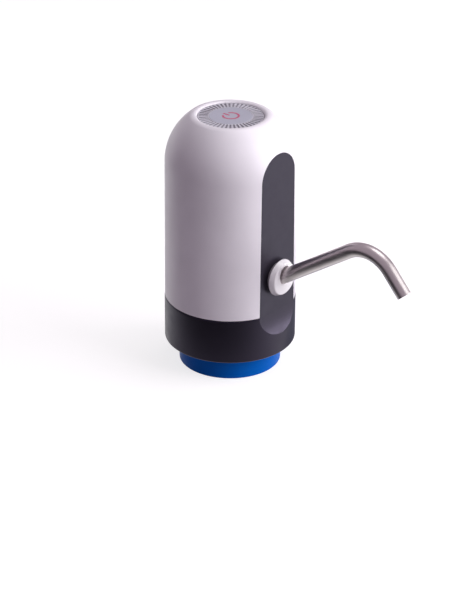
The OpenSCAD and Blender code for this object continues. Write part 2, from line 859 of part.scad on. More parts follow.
module wobble_plate() color([0.9, 0.9, 0.88]) {
    on_wobble_axis() difference() {
        union() {
            translate([0, 0, -0.8]) cylinder(r = 3, h = 1.6);
            translate([0, 0, 0.7]) cylinder(r = 1.9, h = 1.1);
            for (a = chamber_angles) rotate([0, 0, a]) {
                translate([0, -1.4, -0.8]) cube([chamber_ring_r, 2.8, 1.6]);
                translate([chamber_ring_r, 0, -0.8]) cylinder(r = 2.2, h = 1.6);
            }
        }
        translate([0, 0, -2]) {
            cylinder(r = pin_r, h = 5);
            on_ring(chamber_angles, chamber_ring_r) cylinder(r = 1.4, h = 4);
        }
    }
}

module wobble_pin() color([0.7, 0.7, 0.72]) {
    on_wobble_axis() translate([0, 0, -0.8]) cylinder(r = pin_r, h = 7.4);
}

// Cam on the motor shaft, with the sloping hole that swings the wobble pin round
module cam() color([0.85, 0.84, 0.8]) {
    difference() {
        at_pump(cam_z) cylinder(r = 5, h = cam_top - cam_z);
        on_wobble_axis() cylinder(r = pin_r + 0.04, h = 6.9);
        at_pump(shaft_z) cylinder(r = shaft_r, h = far);
        // Balance cut on the heavy side
        at_pump(cam_z - e) translate([1.4, -far / 2, 0]) difference() {
            cube([far, far, 3]);
            translate([-1.4, far / 2, -e]) cylinder(r = 3, h = 5);
        }
    }
}

// Steel can of the motor, with its front boss and its vents
module motor_can() color([0.7, 0.71, 0.73]) {
    at_pump(0) difference() {
        union() {
            translate([0, 0, motor_z]) cylinder(r = motor_r, h = motor_len);
            translate([0, 0, motor_z - 1.6]) cylinder(r = 3, h = 2);
        }
        translate([0, 0, motor_z + 0.9]) cylinder(r = motor_r - can_wall, h = motor_len);
        translate([0, 0, motor_z - 1.1]) cylinder(r = 2.4, h = far);
        translate([0, 0, motor_z - 3]) cylinder(r = 1.3, h = far);
        on_ring([0, 180], motor_screw_ring) translate([0, 0, motor_z - 1]) cylinder(r = 0.95, h = 4);
        for (a = [90, 270])
            rotate([0, 0, a]) translate([motor_r - 3, -3, motor_end_z - 7]) cube([5, 6, 4]);
    }
}

// Two arc magnets inside the can
module motor_magnets() color([0.3, 0.3, 0.31]) {
    inner_r = 9.5;
    thickness = motor_r - can_wall - 0.05 - inner_r;
    arc = 130;
    at_pump(core_z - 2) for (turn = [0, 180])
        rotate([0, 0, turn - arc / 2])
            rotate_extrude(angle = arc) translate([inner_r, 0]) square([thickness, core_len + 4]);
}

module motor_end_cap() color([0.92, 0.92, 0.9]) {
    at_pump(0) difference() {
        union() {
            translate([0, 0, motor_end_z - 1.6]) cylinder(r = motor_r - 0.85, h = 2.8);
            translate([0, 0, motor_end_z]) cylinder(r = 3.4, h = 2.4);
            for (x = [-7, 7])
                translate([x - 1.4, -0.35, motor_end_z]) cube([2.8, 0.7, 4.5]);
        }
        translate([0, 0, motor_end_z - 5]) cylinder(r = 2.4, h = 6.6);
    }
}

module motor_bushes() color([0.62, 0.5, 0.32]) {
    at_pump(0) for (z = [motor_z - 1.1, motor_end_z - 1])
        translate([0, 0, z]) difference() {
            cylinder(r = 2.4, h = 2.4);
            translate([0, 0, -e]) cylinder(r = shaft_r + 0.03, h = 4);
        }
}

// Two leaf brushes that lean on the commutator
module motor_brushes() color([0.75, 0.5, 0.28]) {
    at_pump(commutator_z + 1) for (side = [-1, 1])
        translate([side * 3.6 - 0.45, -4, 0]) cube([0.9, 8, 2]);
    at_pump(commutator_z + 1) for (side = [-1, 1])
        translate([side * 3.6 - 0.45, side * 4 - 0.6, 0])
            cube([0.9, 1.2, motor_end_z - 1.6 - commutator_z - 1]);
}

module motor_shaft() color([0.75, 0.75, 0.77]) {
    at_pump(shaft_z) cylinder(r = shaft_r, h = motor_end_z + 1.4 - shaft_z);
}

// Laminated core with three T-shaped poles
module armature_core() color([0.45, 0.45, 0.47]) {
    at_pump(core_z) linear_extrude(height = core_len) difference() {
        union() {
            circle(r = 3);
            for (a = [0, 120, 240]) rotate(a) {
                translate([0, -1.2]) square([8, 2.4]);
                intersection() {
                    difference() {
                        circle(r = 9.1);
                        circle(r = 7.6);
                    }
                    polygon([[0, 0], [12, 17.5], [24, 0], [12, -17.5]]);
                }
            }
        }
        circle(r = shaft_r);
    }
}

// One coil round the neck of each pole
module armature_windings() color([0.72, 0.38, 0.2]) {
    at_pump(core_z) for (a = [0, 120, 240]) rotate([0, 0, a]) difference() {
        intersection() {
            translate([3.3, -3.2, -2]) cube([3.2, 6.4, core_len + 4]);
            translate([0, 0, core_len / 2]) rotate([0, 90, 0]) union() {
                for (s = [-1, 1]) translate([s * (core_len / 2 - 1.2), 0, 0]) cylinder(r = 3.2, h = 12);
                translate([-core_len / 2 + 1.2, -3.2, 0]) cube([core_len - 2.4, 6.4, 12]);
            }
        }
        translate([0, -1.21, -0.01]) cube([12, 2.42, core_len + 0.02]);
    }
}

// Three copper segments on a plastic sleeve
module commutator() color([0.8, 0.5, 0.3]) {
    at_pump(commutator_z) difference() {
        union() {
            cylinder(r = 3, h = commutator_len);
            cylinder(r = 3.6, h = 0.6);
        }
        translate([0, 0, -e]) cylinder(r = shaft_r, h = 8);
        for (a = [60, 180, 300])
            rotate([0, 0, a]) translate([2, -0.25, -e]) cube([3, 0.5, 8]);
    }
}

module battery_cell() color([0.1, 0.35, 0.7]) {
    translate([cell_xy[0], cell_xy[1], cell_z + 0.3]) {
        rotate_extrude() difference() {
            square([cell_r, cell_len - 1.5]);
            translate([cell_r, cell_len - 5.2]) circle(r = 0.6);
        }
        translate([0, 0, cell_len - 1.6]) cylinder(r = 3, h = 1.5);
    }
}

// Nickel strips welded to the ends of the cell
module battery_tabs() color([0.8, 0.8, 0.78]) {
    translate([cell_xy[0], cell_xy[1], 0]) {
        translate([-2.5, -2.5, cell_z]) cube([14, 5, 0.25]);
        translate([-2.5, -2.5, cell_z + 0.3 + cell_len]) cube([9, 5, 0.2]);
    }
}

// Round-number routes of the leads, tucked beside the cell and the motor
battery_plus_route = [
    [-11, 7, 98.9], [-11, 7, 103], [-10, 8, 108], [-9, 10, 115], [-9, 12, 122], [-9, 12, 128]
];
battery_minus_route = [
    [-3.6, 5, 34.1], [-4.6, 4.5, 37.4], [-6, 1.5, 41.5], [-6.4, -4.5, 50], [-6, -5, 70],
    [-6, -5, 85], [-6, -5, 100], [-6, -4, 115], [-6, -4, 128]
];
motor_plus_route = [
    [4.5, 6.6, 118], [3.4, 5.6, 121], [3.4, 5.2, 125], [3.4, 5.2, 128]
];
motor_minus_route = [
    [18.5, 6.6, 118], [19.6, 5.6, 121], [19.6, 5.2, 125], [19.6, 5.2, 128]
];

module battery_leads() {
    color([0.75, 0.1, 0.1]) swept(battery_plus_route, 0.7, 0, 6);
    color([0.1, 0.1, 0.1]) swept(battery_minus_route, 0.7, 0, 6);
}

module motor_leads() {
    color([0.75, 0.1, 0.1]) swept(motor_plus_route, 0.7, 0, 6);
    color([0.1, 0.1, 0.1]) swept(motor_minus_route, 0.7, 0, 6);
}

// Round board with a tab for the charging socket
module circuit_board() color([0.1, 0.35, 0.2]) {
    tab_w = 16;
    tab_reach = 31.2;
    translate([0, 0, board_z]) linear_extrude(height = board_t) difference() {
        union() {
            circle(r = board_r);
            translate([-tab_w / 2, 0]) square([tab_w, tab_reach]);
        }
        for (a = board_angles) rotate(a) translate([board_screw_ring, 0]) circle(r = 1.1);
    }
}

module board_components() color([0.15, 0.15, 0.16]) {
    // Charger chip, power switch and choke on top, capacitors below
    translate([-13, -12, board_top]) cube([5, 4, 1.5]);
    translate([9, -13, board_top]) cube([4.4, 3.8, 1.4]);
    translate([-16, 4, board_top]) cube([6, 6, 3]);
    for (x = [-6, -2, 2, 6]) translate([x - 0.8, -18, board_top]) cube([1.6, 1, 0.8]);
    for (x = [10, 14]) translate([x, 16, board_top]) cylinder(r = 1.6, h = 3.5);
    translate([-4, -21, board_z - 2]) cube([6, 4, 2]);
}

module indicator_leds() color([0.95, 0.55, 0.55]) {
    for (side = [-1, 1]) translate([side * 7, 0, board_top]) {
        cylinder(r = 1.5, h = 3);
        translate([0, 0, 3]) intersection() {
            sphere(r = 1.5);
            translate([-2, -2, -1]) cube([4, 4, 3]);
        }
    }
}

module tact_switch() color([0.2, 0.2, 0.21]) {
    side = 6;
    difference() {
        translate([-side / 2, -side / 2, switch_z]) cube([side, side, 3.5]);
        translate([0, 0, plunger_foot - button_travel - 0.3])
            cylinder(r = plunger_r + 0.05, h = 4);
    }
}

module switch_plunger() color([0.1, 0.1, 0.1]) {
    translate([0, 0, plunger_foot]) cylinder(r = plunger_r, h = plunger_z - plunger_foot);
}

// Metal shell and tongue of the charging socket, under the board's back edge
module usb_socket() color([0.75, 0.75, 0.77]) {
    depth = 5.6;
    front_y = 34.2;
    translate([0, 0, usb_mid_z]) {
        difference() {
            translate([-usb_w / 2, front_y - depth, -usb_h / 2]) cube([usb_w, depth, usb_h]);
            translate([-usb_w / 2 + 0.35, front_y - depth + 0.6, -usb_h / 2 + 0.35])
                cube([usb_w - 0.7, depth, usb_h - 0.7]);
        }
        translate([-usb_w / 2 + 1.6, front_y - depth + 0.3, -0.1])
            cube([usb_w - 3.2, depth - 1, 0.6]);
    }
}

// Button: carrier with its skirt, retaining flange and push post
module button_cap() color([0.78, 0.78, 0.8]) {
    face = button_z - 0.5;
    rotate_extrude() difference() {
        union() {
            translate([0, face - 1.3]) square([button_r, 1.3]);
            translate([button_r - 1.4, guide_bottom - 0.4]) square([1.4, face - guide_bottom]);
            translate([button_r - 1.4, guide_bottom - 1.8]) square([2.8, 1.7]);
            translate([0, plunger_z + 0.02]) square([2.4, face - plunger_z - 0.5]);
        }
        translate([button_r - 0.35, face + 0.05]) rotate(-45) square([2, 1]);
    }
}

// Silver ring with fine radial grooves
module button_ring() color([0.7, 0.7, 0.73]) {
    translate([0, 0, button_z - 0.5]) difference() {
        rotate_extrude() translate([disc_r + 0.05, 0]) square([button_r - disc_r - 0.1, 0.5]);
        for (i = [0 : groove_count - 1])
            rotate([0, 0, i * 360 / groove_count])
                translate([disc_r + 0.45, -0.25, 0.25])
                    cube([button_r - disc_r - 0.9, 0.5, 1]);
    }
}

// Plain disc with a pocket for the icon
module button_disc() color([0.68, 0.68, 0.74]) {
    difference() {
        translate([0, 0, button_z - 0.5]) cylinder(r = disc_r - 0.05, h = 0.5);
        translate([0, 0, button_z - 0.3]) linear_extrude(height = 1) icon_outline();
    }
}

module power_icon() color([0.85, 0.25, 0.35]) {
    translate([0, 0, button_z - 0.3]) linear_extrude(height = 0.36) icon_outline();
}

// Open ring with a bar in the gap; the bar points away from the spout
module icon_outline() {
    stroke = 0.95;
    difference() {
        circle(r = icon_r);
        circle(r = icon_r - stroke);
        polygon([[0, 0], [-5, 8], [5, 8]]);
    }
    translate([-stroke / 2, 1]) square([stroke, icon_r - 0.6]);
}

module case_screws() color([0.7, 0.7, 0.72]) {
    on_ring(case_angles, case_post_ring)
        translate([0, 0, case_bore_top]) screw(1.25, 15, 2.2, 1.8);
}

module chassis_screws() color([0.7, 0.7, 0.72]) {
    on_ring(chassis_angles, chassis_post_ring)
        translate([0, 0, chassis_top]) mirror([0, 0, 1]) screw(1.05, 9, 2, 1.4);
}

module clamp_screws() color([0.7, 0.7, 0.72]) {
    at_pump(74.5) rotate([0, 0, -55]) for (side = [-1, 1])
        translate([side * (pump_r + 4), -2.6, 0]) rotate([-90, 0, 0]) screw(0.86, 7, 1.8, 1.3);
}

module port_screws() color([0.7, 0.7, 0.72]) {
    for (side = [-1, 1])
        translate([side * port_screw_x, port_face_y + 2.4, port_screw_z])
            rotate([90, 0, 0]) screw(0.86, 4.6, 1.9, 1.3);
}

module pump_screws() color([0.7, 0.7, 0.72]) {
    at_pump(cover_z + 1.2) on_ring([45, 135, 225, 315], pump_screw_ring) screw(0.9, 17, 1.6, 1.1);
}

module motor_screws() color([0.7, 0.7, 0.72]) {
    at_pump(motor_z - 2) on_ring([0, 180], motor_screw_ring) screw(0.93, 4, 1.6, 1.2);
}

module board_screws() color([0.7, 0.7, 0.72]) {
    on_ring(board_angles, board_screw_ring)
        translate([0, 0, board_z]) screw(0.86, 7, 1.9, 1.3);
}

upper_shell();
lower_housing();
neck_collar();
chassis();
pump_clamp();
inlet_fitting();
inlet_gasket();
inlet_hose();
outlet_hose();
spout_grommet();
spout_port();
spout_seals();
spout_tube();
pump_cover();
valve_plate();
check_valves();
diaphragm();
pump_housing();
wobble_plate();
wobble_pin();
cam();
motor_can();
motor_magnets();
motor_end_cap();
motor_bushes();
motor_brushes();
motor_shaft();
armature_core();
armature_windings();
commutator();
battery_cell();
battery_tabs();
battery_leads();
motor_leads();
circuit_board();
board_components();
indicator_leds();
tact_switch();
usb_socket();
switch_plunger();
button_cap();
button_ring();
button_disc();
power_icon();
case_screws();
chassis_screws();
clamp_screws();
port_screws();
pump_screws();
motor_screws();
board_screws();
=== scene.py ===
from math import asin, atan2, cos, degrees, pi, radians, sin, sqrt, tan

import bpy
from mathutils import Matrix, Vector


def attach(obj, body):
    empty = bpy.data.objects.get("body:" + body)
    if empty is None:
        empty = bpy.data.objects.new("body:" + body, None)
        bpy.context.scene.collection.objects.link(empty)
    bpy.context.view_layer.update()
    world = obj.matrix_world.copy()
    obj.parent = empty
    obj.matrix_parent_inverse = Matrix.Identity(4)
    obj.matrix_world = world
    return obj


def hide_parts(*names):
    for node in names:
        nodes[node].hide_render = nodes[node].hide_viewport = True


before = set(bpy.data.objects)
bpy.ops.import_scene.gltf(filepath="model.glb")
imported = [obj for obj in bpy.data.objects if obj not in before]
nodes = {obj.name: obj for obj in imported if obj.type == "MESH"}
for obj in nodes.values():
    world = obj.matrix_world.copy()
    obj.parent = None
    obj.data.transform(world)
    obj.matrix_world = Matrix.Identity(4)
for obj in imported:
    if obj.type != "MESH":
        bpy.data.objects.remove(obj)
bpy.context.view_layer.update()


# Camera. The photograph looks at the pump from the front left and from above, with a long
# lens. Distances are from the pump's axis and from the rim of its collar.
camera_turn = radians(-51)
camera_tilt = radians(27.02)
camera_away = 1.2
camera_height = 0.6469
camera_roll = 0.0044
camera_lens = 142.77
photo_height = 600
pump_left_of_middle = 5.06

bpy.ops.object.select_all(action="DESELECT")
bpy.ops.object.camera_add()
camera = bpy.context.object
camera.name = "photo_camera"
camera.location = (camera_away * sin(camera_turn), -camera_away * cos(camera_turn), camera_height)
look = Vector((
    -sin(camera_turn) * cos(camera_tilt),
    cos(camera_turn) * cos(camera_tilt),
    -sin(camera_tilt),
))
aim = look.to_track_quat("-Z", "Y").to_matrix() @ Matrix.Rotation(camera_roll, 3, "Z")
camera.rotation_euler = aim.to_euler()
camera.data.lens = camera_lens
camera.data.sensor_width = 36
camera.data.shift_x = -pump_left_of_middle / photo_height
camera.data.clip_start = 0.01
camera.data.clip_end = 50
bpy.context.scene.camera = camera
bpy.context.scene.view_settings.view_transform = "Standard"


# Studio. A pale sweep in a plain room, with one large soft light and two weak ones. In gloss
# a dimmer card stands in for the large light, a low card lights the thumb hollow, and the
# sweep is dark on the pump's left, bright on its right and grey behind it.
pump_middle = Vector((0, 0, 0.08))


def facing_pump(turn, height, away):
    """A place and the rotation that faces the pump; turn is to the right of the camera."""
    angle = camera_turn + radians(turn)
    place = Vector((away * sin(angle), -away * cos(angle), height))
    return place, (pump_middle - place).to_track_quat("-Z", "Y").to_euler()


def soft_light(name, place, facing, size, watts, mirrored=True):
    """A square lamp, which may be left out of what glossy surfaces reflect."""
    bpy.ops.object.light_add(type="AREA", location=place, rotation=facing)
    lamp = bpy.context.object
    lamp.name = name
    lamp.data.shape = "SQUARE"
    lamp.data.size = size
    lamp.data.energy = watts
    lamp.visible_glossy = mirrored


def gloss_card(name, place, facing, size, strength, tint=(1, 1, 1, 1)):
    """A square card that glows, and that shows only in what is glossy."""
    bpy.ops.mesh.primitive_plane_add(size=size, location=place, rotation=facing)
    card = bpy.context.object
    card.name = name
    card.visible_camera = False
    card.visible_diffuse = False
    card.visible_shadow = False
    glow = bpy.data.materials.new(name)
    glow.use_nodes = True
    face = glow.node_tree.nodes["Principled BSDF"]
    face.inputs["Base Color"].default_value = (0, 0, 0, 1)
    face.inputs["Specular IOR Level"].default_value = 0
    face.inputs["Emission Color"].default_value = tint
    face.inputs["Emission Strength"].default_value = strength
    card.data.materials.append(glow)


right_side = facing_pump(turn=73, height=0.58, away=1.1)
right_size = 1.05
overhead = facing_pump(turn=125, height=1.4, away=0.45)
behind_left = facing_pump(turn=-130, height=0.12, away=1.0)
low_right = facing_pump(turn=97, height=0.17, away=1.0)
on_sweep = ((0.097, 0.017, 0.0005), (0, 0, 0))
soft_light("right_softbox", *right_side, right_size, watts=18.8, mirrored=False)
soft_light("top_softbox", *overhead, size=0.7, watts=5)
soft_light("rim_softbox", *behind_left, size=0.6, watts=0.8)
gloss_card("right_card", *right_side, right_size, strength=1.7)
gloss_card("low_card", *low_right, size=0.3, strength=9)
gloss_card("dark_card", *on_sweep, size=0.14, strength=0.35, tint=(0.7, 0.75, 1, 1))


def glow_for_rays(tree, strength, seen=0.0, mirrored=0.0, plain=0.0):
    """Drives a strength: plain, with more for camera rays and more for glossy ones.

    Returns the socket of the glossy share, for a pattern to drive.
    """
    rays = tree.nodes.new("ShaderNodeLightPath")
    gloss = tree.nodes.new("ShaderNodeMath")
    gloss.operation = "MULTIPLY_ADD"
    gloss.inputs[1].default_value = mirrored
    gloss.inputs[2].default_value = plain
    total = tree.nodes.new("ShaderNodeMath")
    total.operation = "MULTIPLY_ADD"
    total.inputs[1].default_value = seen
    tree.links.new(rays.outputs["Is Glossy Ray"], gloss.inputs[0])
    tree.links.new(rays.outputs["Is Camera Ray"], total.inputs[0])
    tree.links.new(gloss.outputs[0], total.inputs[2])
    tree.links.new(total.outputs[0], strength)
    return gloss.inputs[1]


room = bpy.data.worlds.new("pale_room")
room.use_nodes = True
sky = room.node_tree.nodes["Background"]
sky.inputs["Color"].default_value = (1.0, 0.87, 1.0, 1)
glow_for_rays(room.node_tree, sky.inputs["Strength"], seen=0.9, mirrored=0.16, plain=0.255)
bpy.context.scene.world = room

bpy.ops.mesh.primitive_plane_add(size=12)
floor = bpy.context.object
floor.name = "pale_floor"

sweep = bpy.data.materials.new("pale_sweep")
sweep.use_nodes = True
paper = sweep.node_tree.nodes["Principled BSDF"]
paper.inputs["Roughness"].default_value = 0.9
paper.inputs["Specular IOR Level"].default_value = 0.1
paper.inputs["Emission Color"].default_value = (1, 1, 1, 1)
gloss_gain = glow_for_rays(sweep.node_tree, paper.inputs["Emission Strength"], seen=0.76)

# In gloss the sweep goes from dark to bright within 80 mm, along its turned X
place = sweep.node_tree.nodes.new("ShaderNodeTexCoord")
grid = sweep.node_tree.nodes.new("ShaderNodeMapping")
grid.inputs["Rotation"].default_value = (0, 0, radians(-15))
parts = sweep.node_tree.nodes.new("ShaderNodeSeparateXYZ")
fade = sweep.node_tree.nodes.new("ShaderNodeMapRange")
fade.inputs["From Min"].default_value = -0.09
fade.inputs["From Max"].default_value = -0.01
fade.inputs["To Max"].default_value = 1.0
sweep.node_tree.links.new(place.outputs["Object"], grid.inputs["Vector"])
sweep.node_tree.links.new(grid.outputs["Vector"], parts.inputs["Vector"])
sweep.node_tree.links.new(parts.outputs["X"], fade.inputs["Value"])
sweep.node_tree.links.new(fade.outputs["Result"], gloss_gain)

# Its own tone is nearly black in gloss, so that only the fade shows there
paper_tone = sweep.node_tree.nodes.new("ShaderNodeMix")
paper_tone.data_type = "RGBA"
paper_tone.inputs["A"].default_value = (0.40, 0.37, 0.40, 1)
paper_tone.inputs["B"].default_value = (0.02, 0.02, 0.025, 1)
rays = sweep.node_tree.nodes.new("ShaderNodeLightPath")
sweep.node_tree.links.new(rays.outputs["Is Glossy Ray"], paper_tone.inputs["Factor"])
sweep.node_tree.links.new(paper_tone.outputs["Result"], paper.inputs["Base Color"])
floor.data.materials.append(sweep)


# White shell. Injection-moulded ABS with a satin face: a barely tapered wall, a dome, and a
# soft crown round the button. Its front has the slot that the black panel fills, and its
# back a recess with the slot of the charging socket.
mm = 0.001
shell_low_r = 36.8
shell_dome_r = 36.4
shell_foot = 40.25
foot_edge = 0.35
foot_ease = 0.1
dome_z = 121
dome_arc = 33.2
shell_top = 148.5
shell_wall = 2.2
crown_round = 5
opening_r = 18.45
opening_roll = 2.3
opening_edge = 0.3
sleeve_foot = 139
sleeve_wall = 1.6
dome_c = shell_dome_r - dome_arc
panel_low_w = 15.15
panel_top_w = 14.3
panel_arch_z = 120
seam_z = 40.2
panel_gap = 0.1
slot_foot = 30
slot_back = 28.3
flat_y = 33.5
port_z = 126.75
port_slot = (8.8, 3.6)
port_recess = (12.4, 7.2)
port_inside = 30
port_recess_floor = 35.1
past_case = 60
case_steps = 240


def only(*pieces):
    """Leaves just these pieces selected, with the last one active, in object mode."""
    if bpy.context.mode != "OBJECT":
        bpy.ops.object.mode_set(mode="OBJECT")
    bpy.ops.object.select_all(action="DESELECT")
    for piece in pieces:
        piece.select_set(True)
        bpy.context.view_layer.objects.active = piece


def into_edit(piece, how="VERT"):
    """Opens a piece in edit mode with nothing selected."""
    only(piece)
    bpy.ops.object.mode_set(mode="EDIT")
    bpy.ops.mesh.select_mode(type=how)
    bpy.ops.mesh.select_all(action="DESELECT")


def arc(centre_r, centre_z, radius, start, end, steps):
    """Points on an arc, with its angles in degrees from the first axis to the second."""
    turn = [radians(start + (end - start) * i / steps) for i in range(steps + 1)]
    return [(centre_r + radius * cos(a), centre_z + radius * sin(a)) for a in turn]


def line_through(name, points):
    """One vertex extruded from point to point; points are (x, y, z) in millimetres."""
    only()
    bpy.ops.mesh.primitive_plane_add(size=mm, location=Vector(points[0]) * mm)
    piece = bpy.context.object
    piece.name = name
    bpy.ops.object.transform_apply()
    bpy.ops.object.mode_set(mode="EDIT")
    bpy.ops.mesh.select_all(action="SELECT")
    bpy.ops.mesh.merge(type="CENTER")
    for here, there in zip(points, points[1:]):
        step = (Vector(there) - Vector(here)) * mm
        bpy.ops.mesh.extrude_region_move(TRANSFORM_OT_translate={"value": step})
    bpy.ops.mesh.select_all(action="SELECT")
    bpy.ops.mesh.remove_doubles(threshold=1e-7)
    return piece


def turned(name, profile, steps=192):
    """A profile of (radius, height) points spun round Z, as on a lathe."""
    piece = line_through(name, [(r, 0, z) for r, z in profile])
    bpy.ops.mesh.spin(steps=steps, angle=2 * pi, center=(0, 0, 0), axis=(0, 0, 1))
    bpy.ops.mesh.select_all(action="SELECT")
    bpy.ops.mesh.remove_doubles(threshold=1e-6)
    bpy.ops.mesh.normals_make_consistent(inside=False)
    bpy.ops.object.mode_set(mode="OBJECT")
    return piece


def plate(name, outline, front, back):
    """A plate with an outline in X and Z, from one depth along Y to another."""
    piece = line_through(name, [(x, front, z) for x, z in outline + outline[:1]])
    bpy.ops.mesh.edge_face_add()
    bpy.ops.mesh.extrude_region_move(TRANSFORM_OT_translate={"value": (0, (back - front) * mm, 0)})
    bpy.ops.mesh.select_all(action="SELECT")
    bpy.ops.mesh.normals_make_consistent(inside=False)
    bpy.ops.object.mode_set(mode="OBJECT")
    return piece


def rod(radius, foot, top, x=0, y=0, steps=48):
    """An upright round bar, as a tool for holes and posts."""
    only()
    bpy.ops.mesh.primitive_cylinder_add(
        vertices=steps, radius=radius * mm, depth=(top - foot) * mm,
        location=(x * mm, y * mm, (foot + top) / 2 * mm),
    )
    bpy.ops.object.transform_apply()
    return bpy.context.object


def turn_and_place(piece, rotation, place=(0, 0, 0)):
    """Turns a piece about the origin, in degrees, and moves it, in millimetres."""
    only(piece)
    piece.rotation_euler = [radians(a) for a in rotation]
    piece.location = Vector(place) * mm
    bpy.ops.object.transform_apply()
    return piece


def joined(pieces):
    """Several pieces as one mesh of separate islands."""
    only(*pieces)
    bpy.ops.object.join()
    return bpy.context.object


def modify(piece, kind, **settings):
    """Adds a modifier with its settings and applies it."""
    only(piece)
    step = piece.modifiers.new(kind.lower(), kind)
    for key, value in settings.items():
        setattr(step, key, value)
    bpy.ops.object.modifier_apply(modifier=step.name)
    return piece


def combine(piece, tool, how="DIFFERENCE"):
    """Cuts, joins or keeps the common part of a piece and a tool, and removes the tool."""
    modify(piece, "BOOLEAN", operation=how, object=tool, solver="EXACT")
    bpy.data.objects.remove(tool)
    return piece


def smooth(piece, sharp=32):
    """Merges doubles, shades by angle and evens the normals of large and small faces."""
    into_edit(piece)
    bpy.ops.mesh.select_all(action="SELECT")
    bpy.ops.mesh.remove_doubles(threshold=2e-6)
    bpy.ops.object.mode_set(mode="OBJECT")
    bpy.ops.object.shade_smooth_by_angle(angle=radians(sharp))
    modify(piece, "WEIGHTED_NORMAL", keep_sharp=True, weight=80)


def noise(tree, scale, detail=2.0):
    """Noise on the piece's own coordinates; scale is in features per metre."""
    place = tree.nodes.new("ShaderNodeTexCoord")
    cloud = tree.nodes.new("ShaderNodeTexNoise")
    cloud.inputs["Scale"].default_value = scale
    cloud.inputs["Detail"].default_value = detail
    tree.links.new(place.outputs["Object"], cloud.inputs["Vector"])
    return cloud.outputs["Fac"]


def spread(tree, factor, low, high):
    """Maps a pattern from its usual 0.3 to 0.7 onto a range of values."""
    ramp = tree.nodes.new("ShaderNodeMapRange")
    ramp.inputs["From Min"].default_value = 0.3
    ramp.inputs["From Max"].default_value = 0.7
    ramp.inputs["To Min"].default_value = low
    ramp.inputs["To Max"].default_value = high
    tree.links.new(factor, ramp.inputs["Value"])
    return ramp.outputs["Result"]


def tones(tree, factor, dark, light):
    """A colour that varies between two tones with a pattern."""
    mix = tree.nodes.new("ShaderNodeMix")
    mix.data_type = "RGBA"
    mix.inputs["A"].default_value = (*dark, 1)
    mix.inputs["B"].default_value = (*light, 1)
    tree.links.new(factor, mix.inputs["Factor"])
    return mix.outputs["Result"]


def relief(tree, shader, height, strength, depth):
    """Bump of a real depth, in millimetres, on a shader's normal."""
    bump = tree.nodes.new("ShaderNodeBump")
    bump.inputs["Strength"].default_value = strength
    bump.inputs["Distance"].default_value = depth * mm
    tree.links.new(height, bump.inputs["Height"])
    tree.links.new(bump.outputs["Normal"], shader.inputs["Normal"])


def finish(name, colour, roughness, uneven=0.04, tone=0.05, grain=0.01, pitch=0.35, **sockets):
    """A material whose gloss and tone vary softly over a fine grain.

    tone is the share by which the colour darkens, grain the depth and pitch the size of the
    surface's grain in millimetres; other sockets are set by name.
    """
    material = bpy.data.materials.new(name)
    material.use_nodes = True
    tree = material.node_tree
    shader = tree.nodes["Principled BSDF"]
    cloud = noise(tree, scale=45)
    dark = [channel * (1 - tone) for channel in colour]
    tree.links.new(tones(tree, spread(tree, cloud, 0, 1), dark, colour), shader.inputs["Base Color"])
    patches = noise(tree, scale=160, detail=3)
    gloss = spread(tree, patches, roughness - uneven, roughness + uneven)
    tree.links.new(gloss, shader.inputs["Roughness"])
    grains = noise(tree, scale=1 / (pitch * mm), detail=3)
    relief(tree, shader, grains, strength=0.6, depth=grain)
    for socket, value in sockets.items():
        shader.inputs[socket.replace("_", " ")].default_value = value
    return material


def dress(piece, material, body, slot, *replaced):
    """Gives a finished piece its material and its body, and hides the CAD nodes that it stands for.
    """
    piece.data.materials.clear()
    piece.data.materials.append(material)
    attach(piece, body)
    if replaced:
        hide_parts(*replaced)


def panel_outline(grow, foot):
    """Outline of the front panel in X and Z: two leaning sides under a round arch."""
    low, top = panel_low_w + grow, panel_top_w + grow
    side = [(low, foot), (low, seam_z)]
    return side + arc(0, panel_arch_z, top, 0, 180, 40) + [(-x, z) for x, z in side[::-1]]


def stadium(width, height):
    """Slot outline with round ends, round the middle of the charging socket."""
    r, half = height / 2, (width - height) / 2
    return arc(half, port_z, r, -90, 90, 12) + arc(-half, port_z, r, 90, 270, 12)


crown_z = shell_top - crown_round
crown_r = dome_c + sqrt((dome_arc - crown_round) ** 2 - (crown_z - dome_z) ** 2)
crown_turn = degrees(atan2(crown_z - dome_z, crown_r - dome_c))
inner_arc = dome_arc - shell_wall
ceiling = shell_top - shell_wall
inner_turn = degrees(asin((ceiling - dome_z) / inner_arc))
lip_z = shell_top - opening_roll + (opening_roll - opening_edge) * sin(radians(135))
shell_profile = (
    [(shell_low_r - foot_edge, shell_foot), (shell_low_r - foot_ease, shell_foot + foot_ease)]
    + [(shell_low_r, shell_foot + foot_edge)]
    + arc(dome_c, dome_z, dome_arc, 0, crown_turn, 40)
    + arc(crown_r, crown_z, crown_round, crown_turn, 90, 12)[1:]
    + arc(crown_r, shell_top - opening_roll, opening_roll, 90, 135, 8)[1:]
    + arc(opening_r + opening_edge, lip_z, opening_edge, 135, 180, 4)
    + [(opening_r, sleeve_foot), (opening_r + sleeve_wall, sleeve_foot)]
    + [(opening_r + sleeve_wall, ceiling)]
    + arc(dome_c, dome_z, inner_arc, inner_turn, 0, 24)
    + [(shell_low_r - shell_wall, shell_foot), (shell_low_r - foot_edge, shell_foot)]
)
white_shell = turned("white_shell", shell_profile, case_steps)
combine(white_shell, plate("slot", panel_outline(panel_gap, slot_foot), -past_case, -slot_back))
combine(white_shell, plate("port_slot", stadium(*port_slot), port_inside, past_case))
combine(white_shell, plate("port_recess", stadium(*port_recess), port_recess_floor, past_case))
smooth(white_shell)
white_abs = finish("white_abs", (0.81, 0.77, 0.835), 0.34, grain=0.004, pitch=0.5)
dress(white_shell, white_abs, "housing", "white_abs", "upper_shell")


